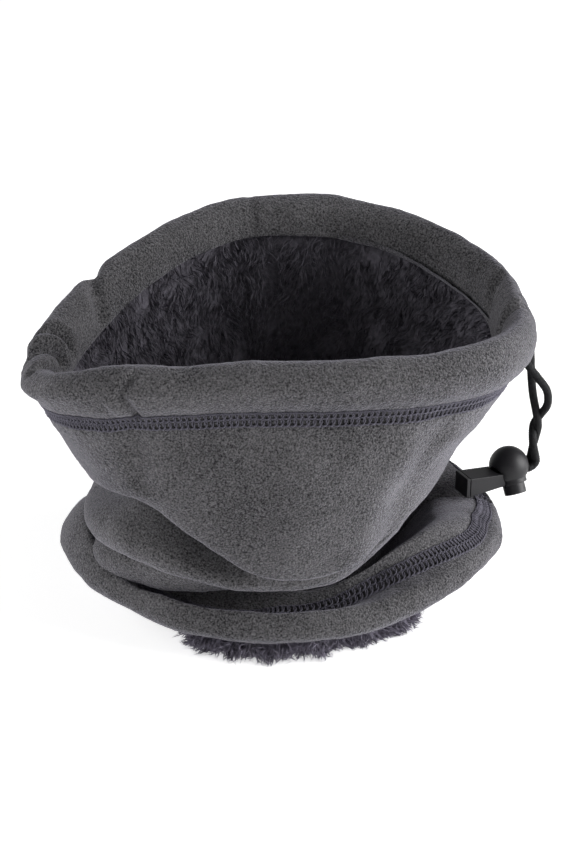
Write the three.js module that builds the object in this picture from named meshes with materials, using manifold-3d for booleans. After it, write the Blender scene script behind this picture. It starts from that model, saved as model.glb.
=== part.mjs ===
// Fleece neck gaiter, standing scrunched down on its hem with the rim held open.
// A fleece tube and a plush lining, a drawcord in the rolled rim, and a ball cord lock with a
// cord end on the two cord tails. Millimetres, +Z up, the wearer's front towards -Y.
import * as THREE from 'three';
import { mergeVertices } from 'three/addons/utils/BufferGeometryUtils.js';
import Module from 'manifold-3d';

const wasm = await Module();
wasm.setup();

// Cloth
const fleece = 2.4; // thickness of the outer fleece
const plush = 5.5; // thickness of the plush lining with its pile
const seamRoom = 1.8; // room between fleece and lining, where the seam allowances lie
const columns = 48; // flats round the tube
const seamColumn = 1; // flat that the tube's upright seam runs along
const gap = 0.35; // clearance between neighbouring pieces

// Drawcord and its lock
const cordRadius = 1.7;
const cordSides = 8;
const exitAngle = 25; // degrees round the rim, from +X towards +Y, of the two cord exits
const exitSpread = 3; // degrees from there to each exit
const exitHoleRadius = 2.3;
const tailStart = 2; // a tail turns in its hole about a point this far outside the rim's face
const ballRadius = 8.75;
const ballCentre = new THREE.Vector3(100.8, 18.7, 42.2);
const lockHeading = 210; // degrees, direction in which the cords leave the lock
const lockRoll = 30; // degrees, lean of the plunger about that direction
const channelDrop = 2.6; // cord channel below the ball's centre, towards the plunger
const channelRadius = 3.95; // the channel takes the two cords side by side
const cordPitch = 3.8; // distance between the two cords in the channel
const cordMeet = -7.9; // where tail and inner cord meet, along the cords from the ball's centre
const plungerRadius = 4.9;
const plungerTop = 2.5; // plunger's inner end above the ball's centre
const plungerReach = 12.8; // plunger's outer end below the ball's centre
const plungerTravel = 2;
const boreTop = 4.8;
const springPocketTop = 7;
const springRadius = 2.6;
const springWire = 0.25;
const springTurns = 3.5;
const endBodyStart = 8.2; // cord end, measured from the ball's centre along the cords
const endBodyEnd = 24.0;
const endWidth = 9.2;
const endBelow = 3.6; // underside below the cord's middle
const endTop = [2.7, 5.4]; // top above the cord's middle, at the lock and at the free end
const endWall = 1.1;
const capThickness = 1.8;

// Rings of the cloth, in order from inside the rim over its roll and down the outside to the hem.
// Each ring: half-width left and right, y of its left and right ends, depth front and back,
// and its height at the left, the right, the front and the back.
const rings = {
  facing: [88, 90, -38, -12, 60, 62, 104, 112, 117, 126],
  innerRoll: [91, 94, -38, -12, 63, 66, 124, 132, 137, 144],
  crest: [97, 99, -40, -12, 69, 72, 128, 136, 140.5, 149],
  outerRoll: [103, 104, -42, -13, 75, 77, 122, 130, 135, 143],
  seamTop: [98, 99, -38, -12, 72, 73, 104, 112, 117, 125],
  seamFoot: [95, 96, -36, -12, 72, 72, 98, 106, 111, 119],
  liningTop: [95, 93.5, -36, -12, 72, 72, 96.5, 103, 110, 118],
  wallHigh: [90, 86, -30, -10, 76, 71, 84, 92, 96, 104],
  wallLow: [85, 80, -26, -7, 77, 69, 72, 82, 75, 82],
  upperFold: [83, 75, -22, -4, 74, 69, 62, 75, 58, 62],
  foldValley: [83, 73, -22, -3, 74, 70, 55, 72, 51, 55],
  lowerFold: [83, 71, -22, -2, 73, 70, 48, 69, 45, 48],
  lip: [78, 68, -22, 0, 70, 67, 38, 65, 33, 36],
  recess: [66, 59, -14, 0, 54, 56, 46, 53, 46, 46],
  recessFoot: [63, 56, -14, 0, 51, 53, 41.5, 48, 41.5, 41.5],
  bandTop: [82, 75, -10, 3, 66, 64, 34, 34, 29, 32],
  bandOut: [94, 94, -12, -2, 78, 72, 20, 23, 20, 20],
  hemEdge: [84, 86, -10, -2, 71, 66, 6, 7, 9, 4],
  hemInside: [78, 80, -10, -2, 66, 60, 12, 12, 14, 10],
  cordLine: [97, 98.5, -40, -12, 69, 71.5, 121, 129, 133.5, 142],
};

// Rings of the lower lining's section: down its outside, along its flat foot and up its inside.
const footRings = [
  [59, 52, -14, 0, 47, 49, 36, 40, 36, 36],
  [71, 66, -12, 2, 61, 54, 26, 26, 22, 24],
  [74, 75, -10, 0, 61, 55, 14, 14, 13, 12],
  [75, 76, -10, 0, 66, 56, 6, 6, 7, 5],
  [75, 76, -10, 0, 75, 56, 0, 0, 0, 0],
  [66, 67, -10, 0, 59, 47, 0, 0, 0, 0],
  [63, 63, -10, 0, 53, 46, 14, 14, 12, 12],
  [60, 56, -12, 2, 50, 45, 26, 26, 22, 24],
  [51, 45, -14, 0, 40, 42, 34, 38, 34, 34],
];

// The extra crease at the left front: how far each ring is pushed in and lifted there.
const crease = { upperFold: [-2, 9], foldValley: [13, 5], lowerFold: [-2, 0] };
const creaseAngle = 212;
const creaseSpan = 62;

const rad = (degrees) => (degrees * Math.PI) / 180;

function creaseWeight(angle) {
  const offset = Math.abs(((angle - rad(creaseAngle) + 3 * Math.PI) % (2 * Math.PI)) - Math.PI);
  return Math.cos(Math.min(1, offset / rad(creaseSpan)) * (Math.PI / 2)) ** 2;
}

function ringPoint(ring, angle, [inward, lift] = [0, 0]) {
  const [left, right, yLeft, yRight, front, back, zLeft, zRight, zFront, zBack] = ring;
  const c = Math.cos(angle);
  const s = Math.sin(angle);
  const weight = creaseWeight(angle);
  return new THREE.Vector3(
    (c > 0 ? right : left) * c - inward * weight * c,
    (s > 0 ? back : front) * s + (c > 0 ? yRight : yLeft) * c * c - inward * weight * s,
    (s > 0 ? zBack : zFront) * s * s + (c > 0 ? zRight : zLeft) * c * c + lift * weight,
  );
}

// A grid of points on the cloth: one smooth section per column, through the named rings.
function clothGrid(names, stepsPerRing) {
  const grid = [];
  const steps = (names.length - 1) * stepsPerRing;
  for (let column = 0; column < columns; column += 1) {
    const angle = (column / columns) * 2 * Math.PI;
    const points = names.map((name) => ringPoint(rings[name], angle, crease[name]));
    const section = new THREE.CatmullRomCurve3(points, false, 'centripetal');
    grid.push(Array.from({ length: steps + 1 }, (_, step) => section.getPoint(step / steps)));
  }
  return grid;
}

// The grid moved off the cloth's face: positive outwards, negative into the tube.
function offsetGrid(grid, distance) {
  const last = grid[0].length - 1;
  return grid.map((section, column) => section.map((point, step) => {
    const next = grid[(column + 1) % columns][step];
    const previous = grid[(column + columns - 1) % columns][step];
    const along = section[Math.min(step + 1, last)].clone().sub(section[Math.max(step - 1, 0)]);
    const round = next.clone().sub(previous);
    return point.clone().addScaledVector(along.cross(round).normalize(), distance);
  }));
}

// A ring-shaped body from a closed section of points in each column.
function bodyFromSections(sections) {
  const count = sections[0].length;
  const positions = sections.flat().flatMap((point) => point.toArray());
  const index = [];
  sections.forEach((section, column) => {
    const here = column * count;
    const there = ((column + 1) % sections.length) * count;
    for (let step = 0; step < count; step += 1) {
      const after = (step + 1) % count;
      index.push(here + step, here + after, there + step);
      index.push(here + after, there + after, there + step);
    }
  });
  return geometryOf(positions, index);
}

function geometryOf(positions, index) {
  const geometry = new THREE.BufferGeometry();
  geometry.setAttribute('position', new THREE.Float32BufferAttribute(positions, 3));
  geometry.setIndex(index);
  geometry.computeVertexNormals();
  return geometry;
}

function clothBody(names, stepsPerRing, outerOffset, innerOffset) {
  const grid = clothGrid(names, stepsPerRing);
  const outer = offsetGrid(grid, outerOffset);
  const inner = offsetGrid(grid, innerOffset);
  return bodyFromSections(outer.map((section, i) => [...section, ...inner[i].slice().reverse()]));
}

// Booleans
function solidOf(geometry) {
  const bare = geometry.clone();
  bare.deleteAttribute('normal');
  bare.deleteAttribute('uv');
  const merged = mergeVertices(bare, 1e-4);
  return new wasm.Manifold(new wasm.Mesh({
    numProp: 3,
    vertProperties: new Float32Array(merged.attributes.position.array),
    triVerts: new Uint32Array(merged.index.array),
  }));
}

function geometryFrom(solid) {
  const mesh = solid.getMesh();
  return geometryOf(Array.from(mesh.vertProperties), Array.from(mesh.triVerts));
}

function joined(...geometries) {
  const solids = geometries.map(solidOf);
  return geometryFrom(solids.slice(1).reduce((sum, solid) => sum.add(solid), solids[0]));
}

function cut(geometry, ...tools) {
  return geometryFrom(tools.reduce((rest, tool) => rest.subtract(solidOf(tool)), solidOf(geometry)));
}

// Cords
function cordSection(radius = cordRadius) {
  const corner = (i) => new THREE.Vector2(radius, 0).rotateAround(
    new THREE.Vector2(), (i / cordSides) * 2 * Math.PI);
  return new THREE.Shape(Array.from({ length: cordSides }, (_, i) => corner(i)));
}

function cordAlong(points, steps, radius = cordRadius) {
  const path = new THREE.CatmullRomCurve3(points, false, 'centripetal');
  return new THREE.ExtrudeGeometry(cordSection(radius), { steps, extrudePath: path });
}

const v = (x, y, z) => new THREE.Vector3(x, y, z);

// Where each cord tail leaves the rim: on the cloth's face, with the face's outward direction.
function cordExit(side) {
  const angle = rad(exitAngle + side * exitSpread);
  const middle = (a) => ringPoint(rings.seamTop, a).lerp(ringPoint(rings.outerRoll, a), 0.38);
  const round = middle(angle + 0.02).sub(middle(angle - 0.02));
  const along = ringPoint(rings.seamTop, angle).sub(ringPoint(rings.outerRoll, angle));
  return { point: middle(angle), outward: along.cross(round).normalize() };
}

function cylinderAlong(start, direction, length, radius, sides = 16) {
  const cylinder = new THREE.CylinderGeometry(radius, radius, length, sides);
  cylinder.translate(0, length / 2, 0);
  cylinder.applyQuaternion(new THREE.Quaternion().setFromUnitVectors(v(0, 1, 0), direction));
  return cylinder.translate(start.x, start.y, start.z);
}

const collarRings = ['facing', 'innerRoll', 'crest', 'outerRoll', 'seamTop', 'seamFoot',
  'wallHigh', 'wallLow', 'upperFold', 'foldValley', 'lowerFold', 'lip', 'recess'];
const collarSteps = 2;
const bandRings = ['recessFoot', 'bandTop', 'bandOut', 'hemEdge', 'hemInside'];
const bandSteps = 3;

// Outer fleece of the collar: facing, rolled rim, wall and the fold's overhanging lip.
function makeUpperShell() {
  const shell = clothBody(collarRings, collarSteps, 0, -fleece);
  const holes = [-1, 1].map((side) => {
    const { point, outward } = cordExit(side);
    return cylinderAlong(point.clone().addScaledVector(outward, -4), outward, 8, exitHoleRadius);
  });
  return cut(shell, ...holes);
}

// Outer fleece of the foot: from the bottom of the fold over the band to the turned hem.
function makeLowerShell() {
  return clothBody(bandRings, bandSteps, 0, -fleece);
}

function makeUpperLining() {
  const names = ['liningTop', 'wallHigh', 'wallLow', 'upperFold'];
  return clothBody(names, 1, -fleece - seamRoom, -fleece - seamRoom - plush);
}

function makeLowerLining() {
  const sections = [];
  for (let column = 0; column < columns; column += 1) {
    const angle = (column / columns) * 2 * Math.PI;
    sections.push(footRings.map((ring) => ringPoint(ring, angle)));
  }
  return bodyFromSections(sections);
}

// Cover stitching: a flat band of thread lying on the cloth's face.
function makeStitchBand(names, steps, from, to) {
  const grid = clothGrid(names, steps);
  const slice = (offset) => offsetGrid(grid, offset).map((section) => section.slice(from, to + 1));
  const outer = slice(gap + 0.6);
  const inner = slice(gap);
  return bodyFromSections(outer.map((section, i) => [...section, ...inner[i].slice().reverse()]));
}

// The seam allowance of the tube's one upright seam: a strip between fleece and lining.
function makeSeamStrip(names, steps, from, to, column) {
  const grid = clothGrid(names, steps);
  const depth = (offset) => offsetGrid(grid, offset).map((section) => section.slice(from, to + 1));
  const outer = depth(-fleece - gap);
  const inner = depth(-fleece - seamRoom + gap);
  const edge = (layer, side) => layer[column].map((point, step) => point.clone().lerp(
    layer[column + side][step], 0.28));
  const sections = [edge(outer, -1), edge(outer, 1), edge(inner, 1), edge(inner, -1)];
  const count = sections[0].length;
  const index = [];
  for (let step = 0; step + 1 < count; step += 1) {
    for (let side = 0; side < 4; side += 1) {
      const a = side * count + step;
      const b = ((side + 1) % 4) * count + step;
      index.push(a, a + 1, b, a + 1, b + 1, b);
    }
  }
  const end = (step, flip) => {
    const [a, b, c, d] = [0, 1, 2, 3].map((side) => side * count + step);
    index.push(...(flip ? [a, b, c, a, c, d] : [a, c, b, a, d, c]));
  };
  end(0, true);
  end(count - 1, false);
  return geometryOf(sections.flat().flatMap((point) => point.toArray()), index);
}

// Drawcord: out of one exit hole, once round inside the rolled rim and out of the other.
function makeDrawcord() {
  const first = cordExit(1);
  const last = cordExit(-1);
  const inside = ({ point, outward }, depth) => point.clone().addScaledVector(outward, -depth);
  const points = [inside(first, 0), inside(first, 2.4), inside(first, 4.4)];
  const stops = 30;
  const start = exitAngle + exitSpread + 7;
  const sweep = 360 - 2 * (exitSpread + 7);
  for (let i = 0; i <= stops; i += 1) {
    points.push(ringPoint(rings.cordLine, rad(start + (sweep * i) / stops)));
  }
  points.push(inside(last, 4.4), inside(last, 2.4), inside(last, 0));
  return cordAlong(points, 80);
}

// The stitched rim of one cord exit.
function makeExitStitching(side) {
  const { point, outward } = cordExit(side);
  const foot = point.clone().addScaledVector(outward, 0.9);
  const rim = cylinderAlong(foot, outward, 0.9, exitHoleRadius + 1.1, 20);
  const hole = cylinderAlong(point.clone(), outward, 3, exitHoleRadius);
  return cut(rim, hole);
}

// The lock's own frame: x along the cords towards the cord end, -z along the plunger.
const lockTurn = new THREE.Quaternion()
  .setFromAxisAngle(v(0, 0, 1), rad(lockHeading))
  .multiply(new THREE.Quaternion().setFromAxisAngle(v(1, 0, 0), rad(lockRoll)));
const endTurn = new THREE.Quaternion().setFromAxisAngle(v(0, 0, 1), rad(lockHeading));
const inLock = (x, y, z) => v(x, y, z).applyQuaternion(lockTurn).add(ballCentre);
const channelCentre = inLock(0, 0, -channelDrop);

// A round bar along z, from one height down to another.
function bar(top, foot, radius) {
  const cylinder = new THREE.CylinderGeometry(radius, radius, top - foot, 28);
  return cylinder.rotateX(Math.PI / 2).translate(0, 0, (top + foot) / 2);
}

// A round bar along x, centred at a height.
function crossBar(height) {
  return new THREE.CylinderGeometry(channelRadius, channelRadius, 24, 24)
    .rotateZ(Math.PI / 2).translate(0, 0, height);
}

// Ball of the cord lock: blind bore for plunger and spring, cord channel across it.
function makeLockBody() {
  const ball = new THREE.SphereGeometry(ballRadius, 28, 18).rotateX(Math.PI / 2);
  const bore = bar(boreTop, -12, plungerRadius + gap);
  const springPocket = bar(springPocketTop, 0, springRadius + 0.8);
  return cut(ball, bore, springPocket, crossBar(-channelDrop));
}

// Plunger: a plain stem with a long window for the cords.
function makePlunger() {
  const windowFoot = -channelDrop - plungerTravel;
  const middle = new THREE.BoxGeometry(24, 2 * channelRadius, plungerTravel)
    .translate(0, 0, (windowFoot - channelDrop) / 2);
  const stem = bar(plungerTop, -plungerReach, plungerRadius);
  return cut(stem, crossBar(-channelDrop), crossBar(windowFoot), middle);
}

// Return spring between the plunger and the floor of its pocket.
function makeSpring() {
  const foot = plungerTop + springWire + 0.2;
  const length = springPocketTop - springWire - 0.2 - foot;
  const turnSteps = 12;
  const points = [];
  for (let i = 0; i <= springTurns * turnSteps; i += 1) {
    const turn = (i / turnSteps) * 2 * Math.PI;
    const height = foot + (length * i) / (springTurns * turnSteps);
    points.push(v(springRadius * Math.cos(turn), springRadius * Math.sin(turn), height));
  }
  return cordAlong(points, springTurns * turnSteps, springWire);
}

// Cord end, in its own frame: x along the cords from the ball's centre, z up, cords at z = 0.
function wedge(start, end, halfWidth, below, topStart, topEnd) {
  const side = new THREE.Shape([
    new THREE.Vector2(start, -below), new THREE.Vector2(end, -below),
    new THREE.Vector2(end, topEnd), new THREE.Vector2(start, topStart),
  ]);
  const block = new THREE.ExtrudeGeometry(side, { depth: 2 * halfWidth, bevelEnabled: false });
  return block.rotateX(Math.PI / 2).translate(0, halfWidth, 0);
}

function bevelledWedge(start, end) {
  const bevel = 0.45;
  const slope = (endTop[1] - endTop[0]) / (endBodyEnd - endBodyStart);
  const topAt = (x) => endTop[0] + slope * (x - endBodyStart) - bevel;
  const side = new THREE.Shape([
    new THREE.Vector2(start + bevel, bevel - endBelow),
    new THREE.Vector2(end - bevel, bevel - endBelow),
    new THREE.Vector2(end - bevel, topAt(end)), new THREE.Vector2(start + bevel, topAt(start)),
  ]);
  const depth = endWidth - 2 * bevel;
  const block = new THREE.ExtrudeGeometry(side, {
    depth, bevelThickness: bevel, bevelSize: bevel, bevelSegments: 2,
  });
  return block.rotateX(Math.PI / 2).translate(0, depth / 2, 0);
}

// Body of the cord end: a tapered box, open at its free end, with a mouth for the cords.
function makeCordEndBody() {
  const shell = bevelledWedge(endBodyStart - 4, endBodyEnd);
  const pocket = wedge(12.5, endBodyEnd + 1, endWidth / 2 - endWall, endBelow - endWall,
    endTop[0] - endWall + 0.5, endTop[1] - endWall + 0.1);
  const mouth = new THREE.BoxGeometry(16, cordPitch + 2 * cordRadius + 0.7, 2 * cordRadius + 0.7);
  const seat = new THREE.SphereGeometry(ballRadius + gap, 28, 18).translate(0, 0, channelDrop);
  const stemRoom = bar(0, -20, plungerRadius + gap).translate(0, 0, channelDrop);
  seat.rotateX(rad(lockRoll));
  stemRoom.rotateX(rad(lockRoll));
  return cut(shell, pocket, mouth.translate(9, 0, 0), seat, stemRoom);
}

// Cap of the cord end: a plate with a plug that snaps into the open end.
function makeCordEndCap() {
  const plate = bevelledWedge(endBodyEnd + gap, endBodyEnd + gap + capThickness);
  const side = endWidth / 2 - endWall - gap;
  const plug = wedge(endBodyEnd - 2, endBodyEnd + gap + 0.6, side, endBelow - endWall - gap,
    endTop[1] - endWall - 1.1, endTop[1] - endWall - 0.8);
  return joined(plate, plug);
}

// One cord inside lock and cord end, up to the knot that holds both in the cord end.
function makeCordRun(side) {
  const y = (-side * cordPitch) / 2;
  return cordAlong([v(cordMeet + gap, y, 0), v(0, y, 0), v(15.6, y, 0)], 6);
}

function makeKnot() {
  const knot = new THREE.SphereGeometry(1, 14, 10);
  return knot.scale(2.6, 3.2, 2.15).translate(18.6, 0, 0.1);
}

// Routes of the two tails, from the rim's exits down to the lock. The slack one loops outwards.
function tailRoute(side) {
  const { point, outward } = cordExit(side);
  const start = point.clone().addScaledVector(outward, tailStart);
  const out = point.clone().addScaledVector(outward, tailStart + 3);
  const atLock = (x, z) => v(x, (-side * cordPitch) / 2, z).applyQuaternion(endTurn)
    .add(channelCentre);
  const straight = [
    v(103, 29, 113), v(107, 27.5, 104), v(108.2, 25.6, 94), v(108.8, 25, 86),
    v(110, 24.8, 76), v(111.2, 25, 66), v(112, 25.4, 57), v(112.4, 25.8, 50),
  ];
  const slack = [
    v(98.5, 20.5, 111), v(102.2, 20, 101), v(106.6, 19.6, 92), v(111.4, 19.6, 85.5),
    v(115.6, 20, 79), v(116.6, 20, 72), v(114, 20, 65), v(112, 20.6, 58),
    v(112.2, 21.6, 50.5),
  ];
  const bend = [
    atLock(-12.4, 3.8), atLock(-11.2, 1.2), atLock(cordMeet - 1, 0), atLock(cordMeet, 0),
  ];
  return [start, out, ...(side > 0 ? straight : slack), ...bend];
}

// One cord tail, round at the end that turns in the rim's hole.
function makeTail(side) {
  const route = tailRoute(side);
  const roundEnd = new THREE.SphereGeometry(0.92 * cordRadius, 12, 8).translate(...route[0]);
  return joined(cordAlong(route, 26), roundEnd);
}

function material(colour, roughness) {
  return new THREE.MeshStandardMaterial({ color: colour, roughness, metalness: 0 });
}

const grey = 0x55535a;
const plushGrey = 0x2c2a33;
const thread = 0x3a3742;
const black = 0x17171a;
const steel = 0x9a9a9a;

// The rings are drawn about the tube's middle; the origin is the middle of the cloth's footprint.
const footprintMiddle = [0.5, -0.5];
const group = new THREE.Group();
group.position.set(-footprintMiddle[0], -footprintMiddle[1], 0);

function place(name, geometry, colour, roughness, frame) {
  const mesh = new THREE.Mesh(geometry, material(colour, roughness));
  mesh.name = name;
  if (frame) {
    mesh.position.copy(frame.position);
    mesh.quaternion.copy(frame.quaternion);
  }
  group.add(mesh);
}

const lockFrame = { position: ballCentre, quaternion: lockTurn };
const endFrame = { position: channelCentre, quaternion: endTurn };

place('upper_shell', makeUpperShell(), grey, 0.95);
place('lower_shell', makeLowerShell(), grey, 0.95);
place('upper_lining', makeUpperLining(), plushGrey, 1);
place('lower_lining', makeLowerLining(), plushGrey, 1);
place('rim_cover_stitch', makeStitchBand(collarRings, collarSteps, 8, 10), thread, 0.8);
place('hem_cover_stitch', makeStitchBand(bandRings, bandSteps, 4, 5), thread, 0.8);
place('upper_seam_allowance', makeSeamStrip(collarRings, collarSteps, 10, 16, seamColumn), grey, 0.95);
place('lower_seam_allowance', makeSeamStrip(bandRings, bandSteps, 1, 5, seamColumn), grey, 0.95);
place('drawcord', makeDrawcord(), black, 0.7);
place('cord_exit_stitching_back', makeExitStitching(1), thread, 0.8);
place('cord_exit_stitching_front', makeExitStitching(-1), thread, 0.8);
place('cord_tail_straight', makeTail(1), black, 0.7);
place('cord_tail_slack', makeTail(-1), black, 0.7);
place('lock_body', makeLockBody(), black, 0.5, lockFrame);
place('lock_plunger', makePlunger(), black, 0.5, lockFrame);
place('lock_spring', makeSpring(), steel, 0.3, lockFrame);
place('cord_end_body', makeCordEndBody(), black, 0.5, endFrame);
place('cord_end_cap', makeCordEndCap(), black, 0.5, endFrame);
place('cord_run_straight', makeCordRun(1), black, 0.7, endFrame);
place('cord_run_slack', makeCordRun(-1), black, 0.7, endFrame);
place('cord_end_knot', makeKnot(), black, 0.7, endFrame);

export default group;
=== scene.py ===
import math

import bpy
import numpy as np
from mathutils import Matrix, Vector, noise


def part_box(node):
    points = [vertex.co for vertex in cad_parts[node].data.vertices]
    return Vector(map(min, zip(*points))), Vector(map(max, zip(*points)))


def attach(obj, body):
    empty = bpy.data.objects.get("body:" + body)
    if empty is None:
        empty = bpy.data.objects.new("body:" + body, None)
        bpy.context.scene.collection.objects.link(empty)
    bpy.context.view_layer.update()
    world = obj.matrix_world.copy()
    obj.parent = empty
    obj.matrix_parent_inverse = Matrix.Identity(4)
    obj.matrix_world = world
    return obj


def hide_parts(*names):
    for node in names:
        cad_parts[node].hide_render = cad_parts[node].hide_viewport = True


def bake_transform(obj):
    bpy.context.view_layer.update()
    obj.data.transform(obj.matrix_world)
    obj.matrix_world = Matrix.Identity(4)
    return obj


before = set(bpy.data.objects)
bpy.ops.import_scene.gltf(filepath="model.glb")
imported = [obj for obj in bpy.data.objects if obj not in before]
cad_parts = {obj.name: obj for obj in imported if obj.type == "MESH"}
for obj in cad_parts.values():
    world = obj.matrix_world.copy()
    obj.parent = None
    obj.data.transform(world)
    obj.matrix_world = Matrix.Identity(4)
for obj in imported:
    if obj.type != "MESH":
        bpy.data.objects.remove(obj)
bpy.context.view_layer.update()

# Camera. The gaiter stands on a table just under a metre away. It is seen from its front and from thirty
# degrees above the table, with a long lens.
scene = bpy.context.scene
scene.view_settings.view_transform = "Standard"
looked_at = Vector((0.0029, 0.0005, 0.0700))
height_angle = math.radians(30)
camera_distance = 0.9
lens = bpy.data.cameras.new("camera")
lens.sensor_width = 36
lens.lens = 87.8
camera = bpy.data.objects.new("camera", lens)
camera.location = looked_at + camera_distance * Vector((0, -math.cos(height_angle), math.sin(height_angle)))
camera.rotation_euler = (math.pi / 2 - height_angle, 0, 0)
scene.collection.objects.link(camera)
scene.camera = camera

# Braided cords. Two free ends of one polyester drawcord, 3.4 mm thick, come out of the rim's
# stitched holes. They hang straight down beside the cloth and turn into the back of the lock.
random = np.random.default_rng(7)


def new_mesh(name, points, faces, smooth=True):
    mesh = bpy.data.meshes.new(name)
    corners = np.asarray(faces, np.int32)
    mesh.vertices.add(len(points))
    mesh.vertices.foreach_set("co", (np.asarray(points) * 0.001).astype(np.float32).ravel())
    mesh.loops.add(corners.size)
    mesh.loops.foreach_set("vertex_index", corners.ravel())
    mesh.polygons.add(len(corners))
    mesh.polygons.foreach_set("loop_start", np.arange(0, corners.size, corners.shape[1], dtype=np.int32))
    mesh.polygons.foreach_set("use_smooth", np.full(len(corners), smooth))
    mesh.update(calc_edges=True)
    mesh.validate()
    piece = bpy.data.objects.new(name, mesh)
    scene.collection.objects.link(piece)
    return piece


def smooth_path(stops, spacing):
    stops = np.asarray(stops, float)
    stops = np.vstack([2 * stops[0] - stops[1], stops, 2 * stops[-1] - stops[-2]])
    found = []
    for a, b, c, d in zip(stops, stops[1:], stops[2:], stops[3:]):
        t = np.linspace(0, 1, 30, endpoint=False)[:, None]
        found.append(b + 0.5 * t * (c - a + t * (2 * a - 5 * b + 4 * c - d + t * (3 * (b - c) + d - a))))
    line = np.vstack([*found, stops[-2:-1]])
    along = np.r_[0, np.cumsum(np.linalg.norm(np.diff(line, axis=0), axis=1))]
    even = np.linspace(0, along[-1], max(3, int(along[-1] / spacing)))
    return np.stack([np.interp(even, along, line[:, i]) for i in range(3)], 1)


def tube(name, line, radius, sides, relief=None, closed=False):
    count = len(line)
    ahead = np.roll(line, -1, 0) - np.roll(line, 1, 0)
    if not closed:
        ahead[0], ahead[-1] = line[1] - line[0], line[-1] - line[-2]
    ahead /= np.linalg.norm(ahead, axis=1)[:, None]
    side = np.cross(ahead[0], [0.3, 0.5, 0.8])
    sideways = []
    for direction in ahead:
        side = side - direction * (side @ direction)
        side = side / np.linalg.norm(side)
        sideways.append(side)
    sideways = np.array(sideways)
    other = np.cross(ahead, sideways)
    turn = np.arange(sides) / sides * 2 * np.pi
    along = np.r_[0, np.cumsum(np.linalg.norm(np.diff(line, axis=0), axis=1))]
    size = np.full((count, sides), radius)
    if relief is not None:
        size = size + relief(along[:, None], turn[None, :])
    ring = np.cos(turn)[None, :, None] * sideways[:, None] + np.sin(turn)[None, :, None] * other[:, None]
    points = (line[:, None] + size[..., None] * ring).reshape(-1, 3)
    a, b = np.meshgrid(np.arange(count if closed else count - 1), np.arange(sides), indexing="ij")
    here, there = a * sides, (a + 1) % count * sides
    after = (b + 1) % sides
    faces = np.stack([here + b, here + after, there + after, there + b], -1).reshape(-1, 4)
    return new_mesh(name, points, faces)


def braid(along, turn):
    strands, pitch = 4, 7.5
    lay = 2 * np.pi / pitch
    over = np.sin(strands * (turn + lay * along))
    under = np.sin(strands * (turn - lay * along))
    return 0.5 * np.sqrt(np.abs(over * under)) - 0.2


def woven_material(name, colour, roughness, size, depth, spread, sheen=0.0, tint=(1, 1, 1)):
    made = bpy.data.materials.new(name)
    made.use_nodes = True
    nodes, links = made.node_tree.nodes, made.node_tree.links
    shader = nodes["Principled BSDF"]
    place = nodes.new("ShaderNodeTexCoord")
    grain = nodes.new("ShaderNodeTexNoise")
    grain.inputs["Scale"].default_value = 1000 / size
    grain.inputs["Detail"].default_value = 3
    patches = nodes.new("ShaderNodeTexNoise")
    patches.inputs["Scale"].default_value = 30
    for texture in (grain, patches):
        links.new(place.outputs["Object"], texture.inputs["Vector"])
    both = nodes.new("ShaderNodeMath")
    both.operation = "MULTIPLY_ADD"
    both.inputs[1].default_value = 0.25
    links.new(patches.outputs["Fac"], both.inputs[0])
    links.new(grain.outputs["Fac"], both.inputs[2])
    shades = nodes.new("ShaderNodeValToRGB")
    shades.color_ramp.elements[0].position = 0.42
    shades.color_ramp.elements[1].position = 0.86
    shades.color_ramp.elements[0].color = (*[c * (1 - spread) for c in colour], 1)
    shades.color_ramp.elements[1].color = (*[c * (1 + spread) for c in colour], 1)
    links.new(both.outputs[0], shades.inputs["Fac"])
    links.new(shades.outputs["Color"], shader.inputs["Base Color"])
    rough = nodes.new("ShaderNodeMapRange")
    rough.inputs["To Min"].default_value = min(1, roughness + 0.12)
    rough.inputs["To Max"].default_value = roughness - 0.08
    links.new(grain.outputs["Fac"], rough.inputs["Value"])
    links.new(rough.outputs["Result"], shader.inputs["Roughness"])
    bump = nodes.new("ShaderNodeBump")
    bump.inputs["Strength"].default_value = 0.9
    bump.inputs["Distance"].default_value = depth * 0.001
    links.new(grain.outputs["Fac"], bump.inputs["Height"])
    links.new(bump.outputs["Normal"], shader.inputs["Normal"])
    shader.inputs["Specular IOR Level"].default_value = 0.25
    shader.inputs["Sheen Weight"].default_value = sheen
    shader.inputs["Sheen Roughness"].default_value = 0.45
    shader.inputs["Sheen Tint"].default_value = (*tint, 1)
    return made


# spread=1.0 gives the cord strong light and dark flecks in its colour. They are partly the fibres' own tone
# and partly painted highlights that stand in for glints off the braid's strands.
cord_black = woven_material(
    "cord_black", colour=(0.0085, 0.0085, 0.0098), roughness=0.66, size=0.8, depth=0.4, spread=1.0)

ball_centre = Vector((100.3, 19.2, 42.2))
channel_drop = 2.6
ball_roll = Matrix.Rotation(math.radians(30), 4, "X")
end_turn = Matrix.Rotation(math.radians(210), 4, "Z")
lock_turn = end_turn @ ball_roll
channel_centre = ball_centre + lock_turn @ Vector((0, 0, -channel_drop))


def beside_lock(x, y, z):
    return list(channel_centre + end_turn @ Vector((x, y, z)))


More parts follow.
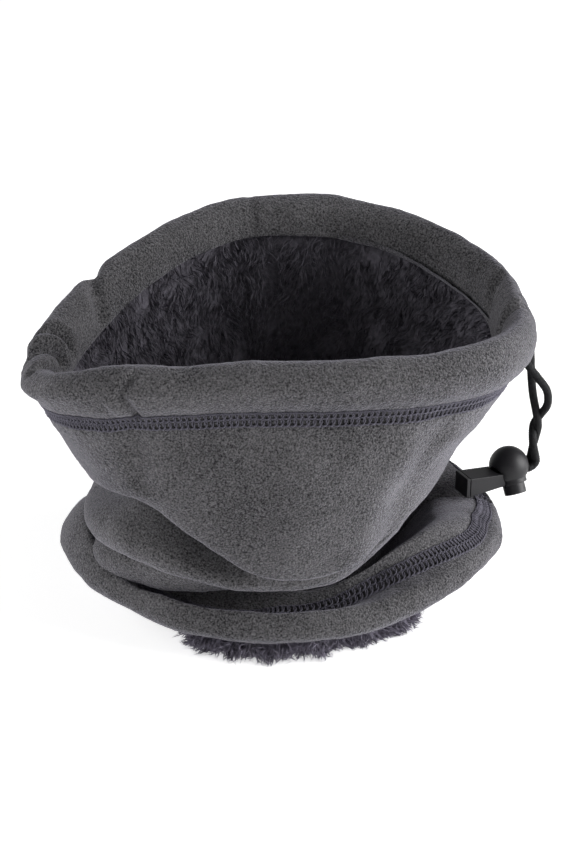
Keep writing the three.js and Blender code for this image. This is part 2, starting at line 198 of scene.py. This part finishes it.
straight_stops = [
    (88.59, 25.83, 121.71), (92.6, 28.6, 120.2), (102.5, 29.5, 113), (106.5, 28, 104),
    (107.7, 26.1, 94), (108.3, 25.5, 86), (109.5, 24.6, 76), (111.2, 23.4, 68),
    (112.6, 23.6, 61), (112.4, 26.2, 54), (111.4, 26.4, 48.5),
    beside_lock(-12.0, -1.9, 2.6), beside_lock(-10.4, -1.9, 0.6), beside_lock(-7.9, -1.9, 0),
]
slack_stops = [
    (93.05, 17.77, 120.66), (97.4, 19.9, 119), (98.6, 21, 111), (101.7, 20.5, 101),
    (106.1, 20.1, 92), (110.9, 20.1, 85.5), (115.1, 20.5, 79), (115.8, 21.6, 71.5),
    (113.3, 24.2, 65), (110.9, 25.4, 59.5), (110.6, 22.8, 53.5), (111.6, 22.3, 48),
    beside_lock(-12.4, 1.9, 2.9), beside_lock(-10.8, 1.9, 0.7), beside_lock(-7.9, 1.9, 0),
]
for name, stops in (("cord_tail_straight_braid", straight_stops), ("cord_tail_slack_braid", slack_stops)):
    line = smooth_path(stops, spacing=0.2)
    tail = tube(name, line, radius=1.6, sides=48, relief=braid)
    tail.data.materials.append(cord_black)
    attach(tail, "lock")
    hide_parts(name.replace("_braid", ""))

# Outer fleece. One tube of brushed fleece, pushed down on itself. Its top is turned in over the
# drawcord and stitched down, its wall narrows to the deep fold, and below the fold it flares
# into the hem that the gaiter stands on. Each ring is: half-width left and right, y of the two
# ends, depth front and back, height at the left, the right, the front and the back.
rings = {
    "edge_back": (91, 92, -38, -12, 63, 64.5, 111, 118, 122, 136.5),
    "edge": (88, 90, -38, -12, 60, 62, 108, 115, 119, 133.5),
    "inner_roll": (90, 92.5, -38, -12, 61.5, 64.5, 124, 131.5, 136, 144),
    "crest": (97, 99, -40, -12, 69, 72, 128, 136, 140.5, 149),
    "outer_roll": (102.6, 104.6, -42, -13, 76, 77, 121, 127.5, 134, 142),
    "low_roll": (98.6, 103.5, -41.5, -13, 75.5, 76, 118, 118.5, 126, 131.5),
    "seam_top": (97.0, 98.2, -40, -12.5, 73, 73, 114, 112.5, 120.5, 125),
    "seam_foot": (94.6, 94, -38, -12, 73, 72, 107.5, 106, 114, 118.5),
    "wall_high": (84.6, 85.5, -33, -12, 76, 71, 86, 95, 96, 104),
    "wall_low": (79.6, 79.6, -30, -10, 77, 69, 75, 83, 75, 82),
    "fold_edge": (77.5, 76, -28, -9, 75.5, 69, 67, 73, 45, 62),
    "fold_in": (76, 75, -26, -9, 75, 69, 65, 71, 44, 60),
    "fold_deep": (75, 74.5, -25, -8, 74, 69, 63, 69, 43, 58.5),
    "bulge_top": (77, 74, -24, -8, 74, 69.5, 60, 67, 42, 56),
    "bulge": (81, 73, -24, -7, 74, 70, 50, 64, 40, 48),
    "bulge_low": (81, 72, -24, -6, 73, 69, 42, 61.5, 37.5, 42),
    "lip": (74, 68, -21, -4, 67, 65, 40, 58, 34.5, 37),
    "under_roll": (77, 60, -22, -2, 57, 60, 34, 53, 32, 40),
    "under_foot": (75, 53, -21, -1, 53, 56, 26, 48, 26, 40),
    "throat": (64, 48, -18, 0, 48, 51, 24, 42, 30, 40),
    "throat_low": (57, 43, -14, 0, 40, 47, 17, 28, 17, 30),
    "groove": (58, 50, -13, 2, 41, 51, 11, 12, 8, 14),
    "band_inner": (62, 66.5, -12, -3, 44, 60, 19, 41, 18, 36),
    "hem_seam_top": (66, 87.5, -12, 0, 47, 63, 20, 37.5, 17, 34),
    "hem_seam_foot": (71, 92.5, -13, 2, 53, 67, 21, 30.5, 16, 31),
    "band_crest": (82.5, 95, -15, 0, 69, 71, 32, 28, 24, 28),
    "band_out": (95, 96.4, -12, -4, 74, 73, 22.5, 21, 14.5, 19),
    "hem_edge": (80, 78, -4, 1, 66, 66, 9, 9, 8.5, 5),
    "hem_inside": (74, 72, -4, 0, 60, 60, 13, 13, 12.5, 10),
}
# Where a ring is drawn in and lifted at one side: ring, angle, half-span, inward, upward.
tucks = [
    *[(name, 48, 38, -4, 0) for name in ("edge", "inner_roll", "crest", "outer_roll", "low_roll")],
    *[(name, 150, 24, -2, 0) for name in ("inner_roll", "crest", "outer_roll", "low_roll")],
    *[(name, 222, 32, 0, 3.5) for name in ("inner_roll", "crest", "outer_roll")],
    *[(name, 330, 42, 3.5, 6) for name in ("fold_in", "fold_deep", "bulge_top", "bulge", "bulge_low", "lip")],
    ("fold_edge", 330, 42, 2.5, 5), ("wall_low", 330, 42, 1, 3),
    ("wall_low", 222, 50, 0, 5), ("fold_edge", 224, 50, 0, 21), ("fold_edge", 217, 47, 1, 0),
    ("fold_in", 223, 52, 0, 25), ("fold_in", 217, 47, 15, 0),
    ("fold_deep", 222, 52, 0, 28), ("fold_deep", 217, 47, 30, 0),
    ("bulge_top", 222, 52, 0, 17), ("bulge_top", 217, 47, 17, 0),
    ("bulge", 218, 52, -1, 10), ("bulge_low", 216, 52, -1, 7.5), ("lip", 214, 48, 3, 8),
    ("under_roll", 218, 42, -5, 3), ("under_foot", 218, 42, -6, 0),
    ("band_inner", 312, 40, -7, 9), ("hem_seam_top", 308, 38, -7, 9), ("hem_seam_top", 318, 60, 3, 0),
    ("hem_seam_foot", 308, 38, -5.5, 7.5),
    ("band_inner", 4, 34, 0, -7), ("hem_seam_top", 6, 30, 0, -5), ("hem_seam_foot", 8, 24, 0, -1.5),
    ("hem_seam_top", 252, 42, -6, -3), ("hem_seam_foot", 252, 42, -7, -2),
    ("band_crest", 180, 34, 0, 10), ("band_out", 180, 34, 0, 3),
    *[(name, angle, 30, 3, 1) for name in ("band_out", "hem_edge", "hem_inside") for angle in (214, 322)],
]
middle = np.array([-0.5, 0.5, 0.0])
columns = 480
turns = np.radians(np.arange(columns) * 360 / columns)


def ring_points(ring, turns, drawn=()):
    left, right, y_left, y_right, front, back, z_left, z_right, z_front, z_back = ring
    c, s = np.cos(turns), np.sin(turns)
    x = np.where(c > 0, right, left) * c
    y = np.where(s > 0, back, front) * s + np.where(c > 0, y_right, y_left) * c * c
    z = np.where(s > 0, z_back, z_front) * s * s + np.where(c > 0, z_right, z_left) * c * c
    for angle, span, inward, upward in drawn:
        away = np.abs((np.degrees(turns) - angle + 540) % 360 - 180)
        near = np.minimum(1, away / span)
        pull = inward * (1 - near ** 4) ** 1.5
        x, y, z = x - pull * c, y - pull * s, z + upward * np.cos(near * np.pi / 2) ** 2
    return np.stack([x, y, z], -1) + middle


def through_rings(stops, spacing):
    ends = np.concatenate([2 * stops[:1] - stops[1:2], stops, 2 * stops[-1:] - stops[-2:-1]])
    rows, marks = [], [0]
    for a, b, c, d in zip(ends, ends[1:], ends[2:], ends[3:]):
        spans = ((a, b), (b, c), (c, d))
        gaps = [np.sqrt(np.linalg.norm(q - p, axis=-1, keepdims=True)) + 1e-6 for p, q in spans]
        t1, t2, t3 = gaps[0], gaps[0] + gaps[1], gaps[0] + gaps[1] + gaps[2]
        steps = max(2, int(round(float((gaps[1] ** 2).mean()) / spacing)))
        for step in range(steps):
            t = t1 + (t2 - t1) * step / steps
            ab, bc = a + (b - a) * t / t1, b + (c - b) * (t - t1) / (t2 - t1)
            cd = c + (d - c) * (t - t2) / (t3 - t2)
            rows.append((ab + (bc - ab) * t / t2) * (t2 - t) / (t2 - t1)
                        + (bc + (cd - bc) * (t - t1) / (t3 - t1)) * (t - t1) / (t2 - t1))
        marks.append(len(rows))
    rows.append(stops[-1])
    return np.array(rows), marks


def faces_of(rows, columns):
    a, b = np.meshgrid(np.arange(rows - 1), np.arange(columns), indexing="ij")
    after = (b + 1) % columns
    below = a + 1
    corners = [a * columns + b, below * columns + b, below * columns + after, a * columns + after]
    return np.stack(corners, -1).reshape(-1, 4)


def outward(grid):
    down = np.gradient(grid, axis=0)
    round_way = np.roll(grid, -1, 1) - np.roll(grid, 1, 1)
    face = np.cross(down, round_way)
    return face / np.maximum(np.linalg.norm(face, axis=-1, keepdims=True), 1e-9)


def rough_field(grid, size, seed):
    points = grid.reshape(-1, 3) / size + seed
    return np.array([noise.noise(p) for p in points]).reshape(grid.shape[:2])


fleece_names = list(rings)
stops = np.array([
    ring_points(rings[name], turns, [t[1:] for t in tucks if t[0] == name]) for name in fleece_names
])
fleece, marks = through_rings(stops, spacing=1.25)
row_of = dict(zip(fleece_names, marks))
row_of[fleece_names[-1]] = len(fleece) - 1
steps_down = np.linalg.norm(np.diff(fleece, axis=0), axis=-1).mean(1)
depth_down = np.r_[0, np.cumsum(steps_down)]


def row_at(name, share):
    start = row_of[name]
    after = fleece_names[min(fleece_names.index(name) + 1, len(fleece_names) - 1)]
    return start + share * (row_of[after] - start)


# Gathers and dents of the cloth: the stops of a line (angle round the tube, ring and share of
# the way to the next ring), its half-width and its depth in millimetres, below 0 for a ridge.
creases = [
    ([(236, "crest", 0.6), (234, "outer_roll", 0.2), (235.5, "low_roll", 0.8)], 1.8, 2.0),
    ([(230, "outer_roll", 0.7), (231.5, "low_roll", 0.4)], 2.0, -0.9),
    ([(233, "seam_foot", 0.0), (230, "wall_high", 0.2)], 6.0, 1.6),
    ([(141, "outer_roll", 0.0), (142, "crest", 0.0), (146, "inner_roll", 0.2), (147, "edge", 0.5)], 3.4, 3.0),
    ([(167, "crest", 0.2), (165, "inner_roll", 0.5), (163, "edge", 0.6)], 2.6, 4.6),
    ([(172, "crest", 0.4), (170, "inner_roll", 0.5), (168, "edge", 0.5)], 2.6, -1.8),
    ([(178, "crest", 0.4), (175, "inner_roll", 0.7), (172, "edge", 0.7)], 2.8, 5.2),
    ([(190, "crest", 0.1), (186, "inner_roll", 0.3), (181, "edge", 0.5)], 3.0, 4.2),
    ([(21, "inner_roll", 0.4), (20, "edge", 0.5)], 3.0, 2.4),
    ([(4, "crest", 0.3), (2, "inner_roll", 0.5), (0, "edge", 0.6)], 3.4, 3.2),
    ([(98, "crest", 0.0), (97, "edge", 0.4)], 1.4, 0.7),
    ([(304, "wall_high", 0.1), (297, "wall_low", 0.6)], 11.0, -1.6),
    ([(314, "seam_foot", 0.6), (306, "wall_low", 0.8)], 9.0, 1.8),
    ([(7.5, "crest", 0.0), (7.5, "seam_foot", 0.0), (7.5, "lip", 0.0)], 1.3, 0.8),
    ([(7.5, "throat_low", 0.0), (7.5, "hem_edge", 0.5)], 1.6, 1.2),
]


rows = np.arange(len(fleece))
girth_radius = 92.0
half_girth = girth_radius * math.pi


def crease_depth(stops, width):
    line = np.array([
        (math.radians(angle) * girth_radius, np.interp(row_at(name, share), rows, depth_down))
        for angle, name, share in stops
    ])
    x = (turns * girth_radius)[None, :]
    y = depth_down[:, None]
    nearest = np.full((len(depth_down), columns), 1e9)
    for (ax, ay), (bx, by) in zip(line, line[1:]):
        px = (x - ax + half_girth) % (2 * half_girth) - half_girth
        t = np.clip((px * (bx - ax) + (y - ay) * (by - ay)) / ((bx - ax) ** 2 + (by - ay) ** 2), 0, 1)
        nearest = np.minimum(nearest, np.hypot(px - t * (bx - ax), y - ay - t * (by - ay)))
    near = nearest / width
    return (1 - 0.35 * near ** 2) * np.exp(-0.5 * near ** 2)


dent = np.zeros(fleece.shape[:2])
for stops, width, depth in creases:
    dent += depth * crease_depth(stops, width)
seam_middle = {
    "rim": (row_of["seam_top"] + row_of["seam_foot"]) / 2,
    "hem": (row_of["hem_seam_top"] + row_of["hem_seam_foot"]) / 2,
}
pucker_depth = {"rim": 0.14, "hem": 0.04}
pucker_pitch = 5.7
half_seam, seam_sink = 3.6, 0.75
puckers = np.sin(turns * girth_radius * 2 * np.pi / pucker_pitch + 2 * np.sin(turns * 9))
for seam, middle_row in seam_middle.items():
    off = np.abs(depth_down - np.interp(middle_row, rows, depth_down))
    flat = 1 / (1 + np.exp((off - half_seam) / 0.45))
    dent += flat[:, None] * seam_sink
    beside_seam = np.exp(-0.5 * ((off - 5.0) / 2.2) ** 2)[:, None]
    dent += beside_seam * pucker_depth[seam] * puckers[None, :]
dent += (0.9 * rough_field(fleece, 24, 3.0) + 0.45 * rough_field(fleece, 9, 11.0)
         + 0.16 * rough_field(fleece, 2.6, 5.0))
fleece = fleece - outward(fleece) * dent[..., None]
fleece_out = outward(fleece)

fleece_grey = woven_material(
    "fleece_grey", colour=(0.072, 0.070, 0.073), roughness=0.95, size=0.75, depth=0.95, spread=1.0,
    sheen=0.3, tint=(0.86, 0.84, 1.0))
fleece_tube = new_mesh("fleece_tube", fleece.reshape(-1, 3), faces_of(len(fleece), columns))
fleece_tube.data.materials.append(fleece_grey)
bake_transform(fleece_tube)
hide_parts("upper_shell", "lower_shell", "upper_seam_allowance", "lower_seam_allowance")

# Plush lining. A tube of long-pile plush, sewn in behind the turned-in rim. It follows the wall
# down, passes through the throat of the fold, and comes out below the hem as a ragged fringe.
# Each ring is given as the fleece's rings are, and its tucks stand under its number.
plush_rings = [
    (93, 94, -38, -12, 65, 67.5, 112, 121, 125, 137),
    (88.5, 90, -38, -12, 61, 63.5, 103, 111, 116, 129),
    (82, 80, -34, -12, 64, 63, 86, 93, 97, 104),
    (76, 72, -28, -8, 65, 61, 72, 82, 76, 82),
    (66, 61, -22, -4, 56, 55, 58, 68, 60, 64),
    (52, 40, -16, 0, 36, 43, 30, 44, 34, 42),
    (49, 36, -14, 0, 33, 41, 20, 26, 22, 28),
    (50, 42, -12, 0, 34, 43, 10, 11, 9, 11),
    (56, 59, -10, 0, 46, 46, 2.2, 2.2, 2.2, 2.2),
    (60, 64, -10, 0, 49, 50, 1.6, 1.6, 1.6, 1.6),
    (62, 66, -10, 0, 50, 52, 7, 7, 8, 7),
    (66, 68, -10, 0, 52, 53, 17, 17, 16, 15),
]
plush_tucks = {
    0: [(48, 38, -4, 0)], 1: [(48, 38, -4, 0)], 2: [(48, 38, -3, 0)],
    3: [(217, 50, 24, 0)], 4: [(217, 50, 20, 0)],
    8: [(260, 30, -8, 0), (295, 24, -8, 0)], 9: [(260, 30, -18, 0), (302, 26, -13, 0)],
    10: [(260, 30, -16, 0), (302, 26, -11, 0)], 11: [(260, 30, -6, 0), (295, 24, -5, 0)],
}
plush_columns = 300
plush_turns = np.radians(np.arange(plush_columns) * 360 / plush_columns)
plush_stops = np.array([
    ring_points(ring, plush_turns, plush_tucks.get(i, ())) for i, ring in enumerate(plush_rings)
])
plush, plush_marks = through_rings(plush_stops, spacing=2.0)
plush_swell = 0.8 * rough_field(plush, 14, 1.0) + 0.5 * rough_field(plush, 5, 8.0)
plush = plush + outward(plush) * plush_swell[..., None]
plush_out = outward(plush)
# The lining and the fringe are one plush. This colour is used inside the tube, and the fringe below gets a
# copy about twice as light: painted light and shade on one fabric.
plush_grey = woven_material(
    "plush_grey", colour=(0.084, 0.079, 0.094), roughness=0.95, size=2.6, depth=1.0, spread=0.4,
    sheen=0.2, tint=(0.8, 0.76, 1.0))
plush_tube = new_mesh("plush_lining_tube", plush.reshape(-1, 3), faces_of(len(plush), plush_columns))
plush_tube.data.materials.append(plush_grey)
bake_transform(plush_tube)
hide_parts("upper_lining", "lower_lining")


def mixed(grid, r, c, u, w):
    after = (c + 1) % grid.shape[1]
    here = grid[r, c] * (1 - u) + grid[r + 1, c] * u
    beyond = grid[r, after] * (1 - u) + grid[r + 1, after] * u
    return here * (1 - w) + beyond * w


def scatter(grid, first, last, count):
    part = grid[first:last + 1]
    a, b = part[:-1], part[1:]
    size = np.linalg.norm(np.cross(b - a, np.roll(a, -1, 1) - a), axis=-1).ravel()
    picked = random.choice(size.size, count, p=size / size.sum())
    r, c = np.divmod(picked, grid.shape[1])
    u, w = random.random((2, count, 1))
    r = r + first
    return r, c, mixed(grid, r, c, u, w)


def pile(name, roots, ways, lengths, width):
    count = len(roots)
    ways = ways / np.linalg.norm(ways, axis=1)[:, None]
    sides = np.cross(ways, random.normal(size=(count, 3)))
    sides = sides / np.linalg.norm(sides, axis=1)[:, None] * width * (0.7 + 0.6 * random.random((count, 1)))
    lengths = lengths[:, None]
    curl = random.normal(size=(count, 3)) * 0.16 * lengths
    waist = roots + ways * lengths * 0.55 + curl
    tips = roots + ways * lengths + curl * 0.3 + np.array([0, 0, -0.12]) * lengths
    above_table = 0.25
    for end in (waist, tips):
        end[:, 2] = np.maximum(end[:, 2], above_table)
    points = np.stack([roots - sides, roots + sides, waist - sides * 0.8, waist + sides * 0.8, tips], 1)
    base = np.arange(count)[:, None] * 5
    faces = np.concatenate([base + [0, 1, 3], base + [0, 3, 2], base + [2, 3, 4]])
    return new_mesh(name, points.reshape(-1, 3), faces)


def clumps(points, size, seed):
    shifts = [Vector((seed + 9 * k, 0, 0)) for k in range(3)]
    return np.array([[noise.noise(Vector(p) / size + shift) for shift in shifts] for p in points])


lining_strands, fringe_strands = 36000, 18000
row, column, roots = scatter(plush, 1, plush_marks[5], lining_strands)
inward_way = -plush_out[row, column]
ways = (inward_way * 0.6 + np.array([-0.15, 0, -0.8])
        + 1.2 * clumps(roots, 9, 2.0) + 0.16 * random.normal(size=roots.shape))
lining_pile = pile("lining_pile", roots, ways, 3.8 + 1.8 * random.random(len(roots)), width=0.22)
lining_pile.data.materials.append(plush_grey)
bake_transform(lining_pile)

row, column, roots = scatter(plush, plush_marks[8], plush_marks[10] + 3, fringe_strands)
away = roots * [1, 1, 0]
away = away / np.linalg.norm(away, axis=1)[:, None]
ways = (away * 0.55 + np.array([0, 0, -0.5])
        + 1.9 * clumps(roots, 6, 5.0) + 0.25 * random.normal(size=roots.shape))
fringe = pile("fringe_pile", roots, ways, 4.5 + 3.5 * random.random(len(roots)), width=0.27)
# The fringe's colour is a lighter copy of the lining's plush colour: painted light, where the same plush
# hangs out in the light below the hem.
fringe_plush_painted_lit = woven_material(
    "fringe_plush_painted_lit", colour=(0.165, 0.153, 0.192), roughness=0.95, size=2.0, depth=0.6, spread=0.6,
    sheen=0.2, tint=(0.8, 0.76, 1.0))
fringe.data.materials.append(fringe_plush_painted_lit)
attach(fringe, "base")

# Cover stitching. Three needle rows and the looper thread between them hold the turned-in rim
# and the turned-up hem, in a textured dark grey thread.
thread_grey = woven_material(
    "thread_grey", colour=(0.082, 0.078, 0.098), roughness=0.8, size=0.4, depth=0.1, spread=0.4,
    sheen=0.2, tint=(0.8, 0.78, 1.0))


def on_fleece(turn, row, lift):
    row = np.clip(row, 0, len(fleece) - 1.001)
    spot = (turn / (2 * np.pi) * columns) % columns
    r, c = np.floor(row).astype(int), np.floor(spot).astype(int)
    u, w = (row - r)[:, None], (spot - c)[:, None]
    return mixed(fleece, r, c, u, w) + mixed(fleece_out, r, c, u, w) * np.asarray(lift)[..., None]


def cover_stitch(name, middle_row):
    per_mm = 1 / np.interp(middle_row, rows[:-1], steps_down)
    loops = 240
    made = []
    for half in (-1, 1):
        t = np.arange(loops * 10) / 10
        phase = 2 * np.pi * t
        turn = (t + 0.42 * np.sin(phase)) / loops * 2 * np.pi
        across = half * 1.6 + 1.5 * np.cos(phase) + 0.12 * np.sin(t * 1.7)
        lift = 0.42 + 0.22 * np.sin(2 * phase)
        made.append(on_fleece(turn, middle_row + across * per_mm, lift))
    for across in (-3.1, 0, 3.1):
        t = np.arange(loops * 4) / 4
        lift = 0.30 + 0.30 * np.cos(2 * np.pi * t)
        wander = 0.1 * np.sin(t * 2.3)
        made.append(on_fleece(t / loops * 2 * np.pi, middle_row + (across + wander) * per_mm, lift))
    parts = [tube(f"{name}_{i}", line, radius=0.3, sides=5, closed=True) for i, line in enumerate(made)]
    with bpy.context.temp_override(active_object=parts[0], selected_editable_objects=parts):
        bpy.ops.object.join()
    band = parts[0]
    band.name = name
    band.data.materials.append(thread_grey)
    return band


rim_stitch = cover_stitch("rim_cover_stitch_thread", seam_middle["rim"])
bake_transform(rim_stitch)
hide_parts("rim_cover_stitch")
hem_stitch = cover_stitch("hem_cover_stitch_thread", seam_middle["hem"])
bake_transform(hem_stitch)
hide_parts("hem_cover_stitch")

# Cord exits. Each of the two holes in the rim is overcast with the same grey thread, so that the
# cord doesn't fray the cloth as it slides.
exit_loops, steps_per_loop = 34, 12
for name in ("cord_exit_stitching_back", "cord_exit_stitching_front"):
    low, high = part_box(name)
    centre = np.array((low + high) / 2) * 1000
    out = np.array([0.84, 0.49, -0.235])
    out /= np.linalg.norm(out)
    side = np.cross(out, [0, 0, 1])
    side /= np.linalg.norm(side)
    up = np.cross(side, out)
    t = np.arange(exit_loops * steps_per_loop) / steps_per_loop
    around, loop = 2 * np.pi * t / exit_loops, 2 * np.pi * t
    reach = (3.6 + 0.5 * np.cos(loop))[:, None]
    circle = np.cos(around)[:, None] * side + np.sin(around)[:, None] * up
    line = centre + reach * circle + np.outer(0.5 * np.sin(loop), out)
    ring = tube(name + "_thread", line, radius=0.24, sides=5, closed=True)
    ring.data.materials.append(thread_grey)
    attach(ring, "collar")
    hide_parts(name)

# Cord lock. A hollow moulded ball with a sprung button: cords run through a channel across both,
# and the button's spring pinches them. The matt black plastic has a fine spark-eroded grain.
plastic = woven_material(
    "lock_plastic_black", colour=(0.012, 0.0115, 0.0135), roughness=0.46, size=0.25, depth=0.02,
    spread=0.25)
plastic.node_tree.nodes["Principled BSDF"].inputs["Specular IOR Level"].default_value = 0.3
ball_radius, channel_radius = 8.75, 3.95
stem_radius, clearance, travel = 4.9, 0.35, 2.0
button_top, bore_top, spring_pocket_top = 2.5, 4.8, 7
moulding_step = 0.2


def solid(kind, **sizes):
    getattr(bpy.ops.mesh, f"primitive_{kind}_add")(**sizes)
    return bpy.context.active_object


def rod(radius, low, high, axis="Z"):
    made = solid("cylinder", vertices=96, radius=radius, depth=high - low)
    made.data.transform(Matrix.Translation((0, 0, (low + high) / 2)))
    if axis == "X":
        made.data.transform(Matrix.Rotation(math.pi / 2, 4, "Y"))
    return made


def crossing(height):
    made = rod(channel_radius, -12, 12, "X")
    made.data.transform(Matrix.Translation((0, 0, height)))
    return made


def prism(x0, x1, half_width, below, top0, top1):
    made = solid("cube", size=2)
    for v in made.data.vertices:
        far = v.co.x > 0
        top = top1 if far else top0
        v.co = (x1 if far else x0, half_width * v.co.y, top if v.co.z > 0 else -below)
    return made


def carve(name, body, cutters, frame_matrix, adds=()):
    for other, way in [*[(o, "UNION") for o in adds], *[(o, "DIFFERENCE") for o in cutters]]:
        step = body.modifiers.new("step", "BOOLEAN")
        step.object, step.operation, step.solver = other, way, "EXACT"
    fine = body.modifiers.new("fine", "REMESH")
    fine.mode, fine.voxel_size = "VOXEL", moulding_step
    soft = body.modifiers.new("soft", "SMOOTH")
    soft.factor, soft.iterations = 0.5, 5
    bpy.context.view_layer.update()
    mesh = bpy.data.meshes.new_from_object(body.evaluated_get(bpy.context.evaluated_depsgraph_get()))
    for other in [body, *cutters, *adds]:
        bpy.data.objects.remove(other)
    mesh.transform(Matrix.Scale(0.001, 4) @ frame_matrix)
    mesh.polygons.foreach_set("use_smooth", np.full(len(mesh.polygons), True))
    made = bpy.data.objects.new(name, mesh)
    scene.collection.objects.link(made)
    mesh.materials.clear()
    mesh.materials.append(plastic)
    return made


lock_place = Matrix.Translation(ball_centre) @ lock_turn
bore = rod(stem_radius + clearance, -12, bore_top)
spring_pocket = rod(3.4, 0, spring_pocket_top)
collar_of_ball = rod(6.2, -8.2, -5.2)
ball = solid("uv_sphere", segments=96, ring_count=64, radius=ball_radius)
ball = carve("lock_ball", ball, [bore, spring_pocket, crossing(-channel_drop)], lock_place, [collar_of_ball])
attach(ball, "lock")
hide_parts("lock_body")
window_foot = channel_drop + travel
window_middle = prism(-12, 12, channel_radius, window_foot, -channel_drop, -channel_drop)
window = [crossing(-channel_drop), crossing(-window_foot), window_middle]
button = carve("lock_button", rod(stem_radius, -12.8, button_top), window, lock_place)
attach(button, "plunger")
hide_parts("lock_plunger")

# Return spring. Steel wire coiled between the button's inner end and the floor of the ball's
# pocket. The real spring shortens when the button is pressed; this one is built at its full length.
steel = woven_material(
    "spring_wire_steel", colour=(0.55, 0.55, 0.56), roughness=0.32, size=0.3, depth=0.01, spread=0.15)
steel.node_tree.nodes["Principled BSDF"].inputs["Metallic"].default_value = 1.0
wire_radius, coil_radius, coil_turns = 0.25, 2.6, 3.5
wire_gap = wire_radius + 0.2
spring_foot, spring_top = button_top + wire_gap, spring_pocket_top - wire_gap
winding = np.linspace(0, coil_turns * 2 * np.pi, 127)
heights = np.linspace(spring_foot, spring_top, winding.size)
coil = np.stack([coil_radius * np.cos(winding), coil_radius * np.sin(winding), heights], 1)
spring_line = np.array([lock_place @ Vector(point) for point in coil])
spring = tube("return_spring", spring_line, radius=wire_radius, sides=12)
spring.data.materials.append(steel)
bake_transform(spring)
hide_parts("lock_spring")

# Cord end. A tapered box that hides the knot of the two cords, with a cap snapped on its free end.
end_place = Matrix.Translation(channel_centre) @ end_turn
to_ball = ball_roll @ Matrix.Translation((0, 0, channel_drop))
seat = solid("uv_sphere", segments=64, ring_count=48, radius=ball_radius + clearance)
seat.data.transform(to_ball)
stem_room = rod(stem_radius + clearance, -20, 0)
stem_room.data.transform(to_ball)
half_width, below_cords = 4.6, 3.6
pocket = prism(12.5, 25, 3.5, 2.5, 2.1, 4.4)
mouth = prism(1, 17, 3.95, 2.05, 2.05, 2.05)
box = prism(4.2, 24.0, half_width, below_cords, 2.02, 5.4)
box = carve("cord_end_box", box, [seat, stem_room, pocket, mouth], end_place)
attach(box, "cord_end")
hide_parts("cord_end_body")
lid = prism(24.35, 26.15, half_width, below_cords, 5.47, 5.85)
plug = prism(22, 24.9, 3.15, 2.15, 3.2, 3.5)
lid = carve("cord_end_lid", lid, [], end_place, [plug])
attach(lid, "cord_end")
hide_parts("cord_end_cap")

# Hidden cords. The drawcord runs round inside the rolled rim, and its two ends run on through the
# lock to the knot inside the cord end. All are the same braided cord.
for name in ("drawcord", "cord_run_straight", "cord_run_slack", "cord_end_knot"):
    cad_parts[name].data.materials.clear()
    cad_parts[name].data.materials.append(cord_black)

# Table and studio. A white table top, two large soft boxes beside it and a pale room.
half_table = 3000
table_corners = [(x * half_table, y * half_table, 0) for x, y in ((-1, -1), (1, -1), (1, 1), (-1, 1))]
floor = new_mesh("table_top", table_corners, [(0, 1, 2, 3)])
white = bpy.data.materials.new("table_white")
white.use_nodes = True
paper = white.node_tree.nodes["Principled BSDF"]
paper.inputs["Base Color"].default_value = (0.85, 0.85, 0.85, 1)
paper.inputs["Roughness"].default_value = 0.9
paper.inputs["Emission Color"].default_value = (1, 1, 1, 1)
paper.inputs["Emission Strength"].default_value = 0.6
floor.data.materials.append(white)
room = bpy.data.worlds.new("room")
room.use_nodes = True
sky, wires = room.node_tree.nodes, room.node_tree.links
towards = sky.new("ShaderNodeTexCoord")
split = sky.new("ShaderNodeSeparateXYZ")
fade = sky.new("ShaderNodeMapRange")
fade.inputs["From Min"].default_value, fade.inputs["From Max"].default_value = 0.0, 0.65
fade.inputs["To Min"].default_value, fade.inputs["To Max"].default_value = 1.0, 0.06
wires.new(towards.outputs["Generated"], split.inputs[0])
wires.new(split.outputs["Z"], fade.inputs["Value"])
beside = sky.new("ShaderNodeMath")
beside.operation = "ABSOLUTE"
wires.new(split.outputs["X"], beside.inputs[0])
sides = sky.new("ShaderNodeMapRange")
sides.inputs["To Min"].default_value, sides.inputs["To Max"].default_value = 0.52, 1.3
wires.new(beside.outputs[0], sides.inputs["Value"])
strength = sky.new("ShaderNodeMath")
strength.operation = "MULTIPLY"
wires.new(fade.outputs["Result"], strength.inputs[0])
wires.new(sides.outputs["Result"], strength.inputs[1])
wires.new(strength.outputs[0], sky["Background"].inputs["Strength"])
sky["Background"].inputs["Color"].default_value = (1, 1, 1, 1)
scene.world = room


def soft_box(name, place, size, power):
    lamp = bpy.data.lights.new(name, "AREA")
    lamp.size, lamp.energy = size, power
    holder = bpy.data.objects.new(name, lamp)
    holder.location = place
    holder.rotation_euler = (Vector((0, 0, 0.06)) - Vector(place)).to_track_quat("-Z", "Y").to_euler()
    scene.collection.objects.link(holder)


soft_box("soft_box_right", (1.0, -0.1, 0.4), 0.8, 19)
soft_box("soft_box_left", (-1.0, -0.1, 0.4), 0.8, 9)
